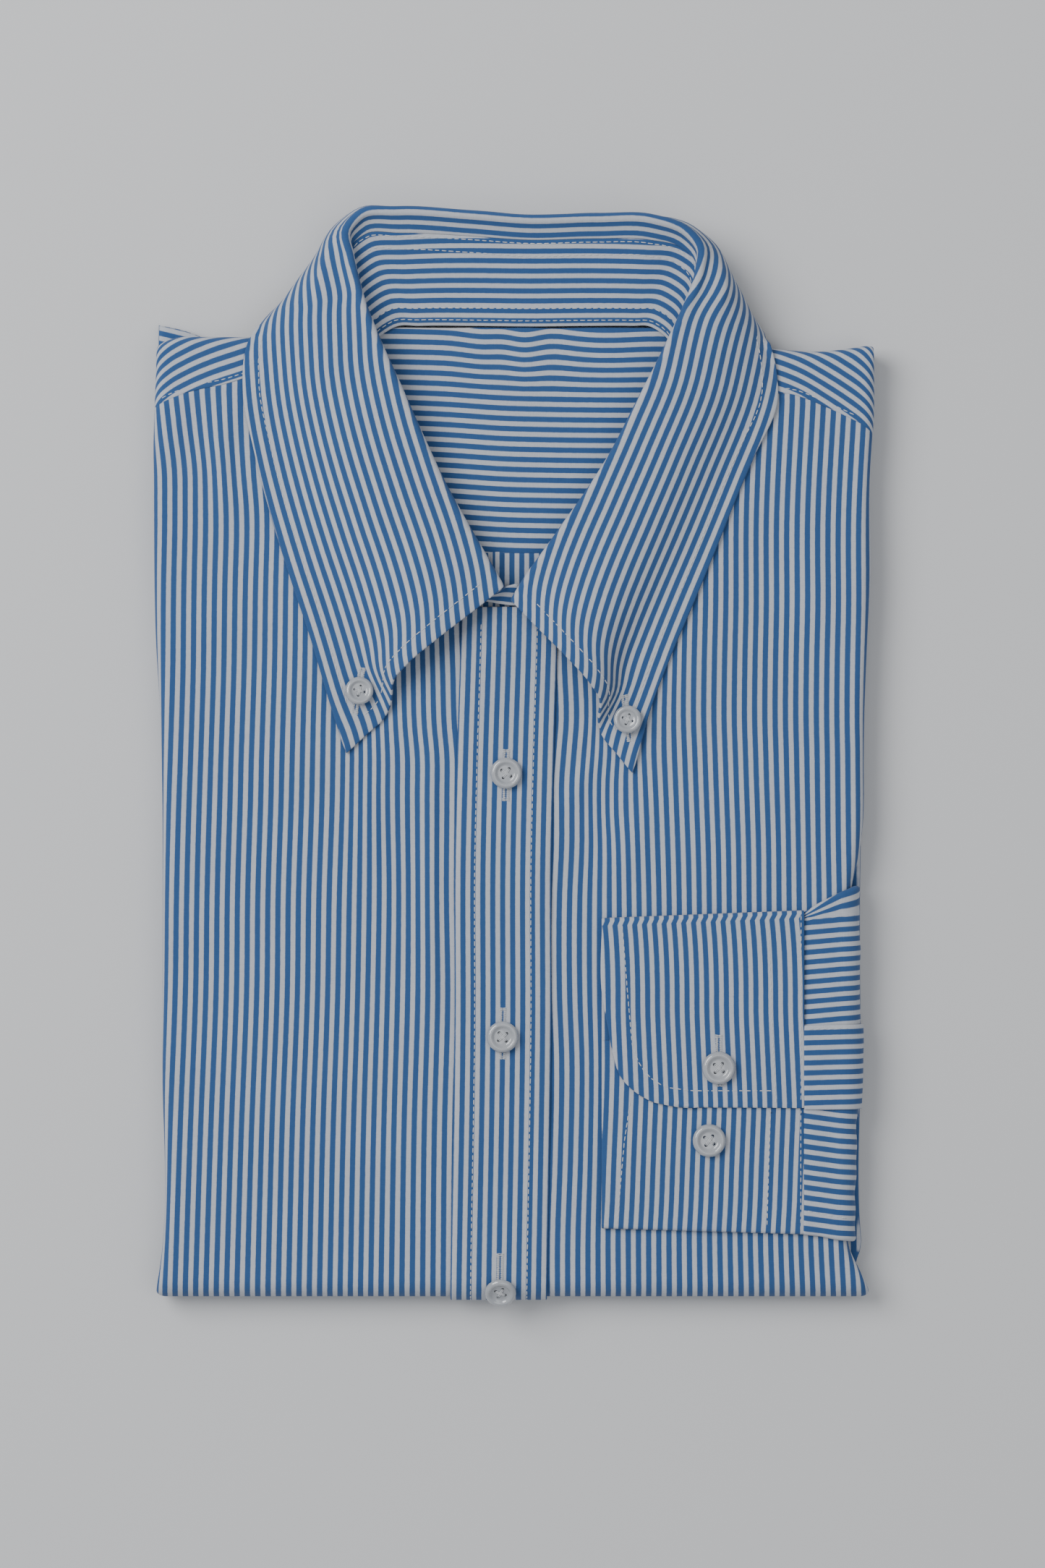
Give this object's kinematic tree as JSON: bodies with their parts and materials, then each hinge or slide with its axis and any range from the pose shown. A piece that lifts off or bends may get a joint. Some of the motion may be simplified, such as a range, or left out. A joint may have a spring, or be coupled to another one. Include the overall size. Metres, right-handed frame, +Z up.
{
  "type": "folded dress shirt",
  "caption": "Long-sleeved striped dress shirt with a button-down collar, buttoned and folded flat, one cuff laid on its front.",
  "frame": {"origin": "middle of the bounding box on the surface that the folded shirt rests on", "axes": "+Y from the bottom fold to the collar, +Z up out of the resting surface, +X to the wearer's left"},
  "size_m": [0.2618, 0.3984, 0.0289],
  "materials": {
    "striped_cloth": "plain woven cotton, blue and white stripes",
    "inner_cloth": "plain woven cotton, blue and white stripes, seen on the inside",
    "button": "pearly, polished"
  },
  "bodies": {
    "root": {"right_front": "striped_cloth", "left_front": "striped_cloth", "front_placket": "striped_cloth", "outer_yoke_right": "striped_cloth", "outer_yoke_left": "striped_cloth", "inner_yoke": "inner_cloth", "back_panel": "inner_cloth", "collar_band": "striped_cloth", "collar_leaf": "striped_cloth", "left_cuff": "striped_cloth", "left_sleeve": "striped_cloth", "sleeve_placket": "striped_cloth", "folded_layers": "striped_cloth", "front_button_1": "button", "front_button_2": "button", "front_button_3": "button", "collar_button_right": "button", "collar_button_left": "button", "cuff_button_1": "button", "cuff_button_2": "button"}
  },
  "joints": []
}
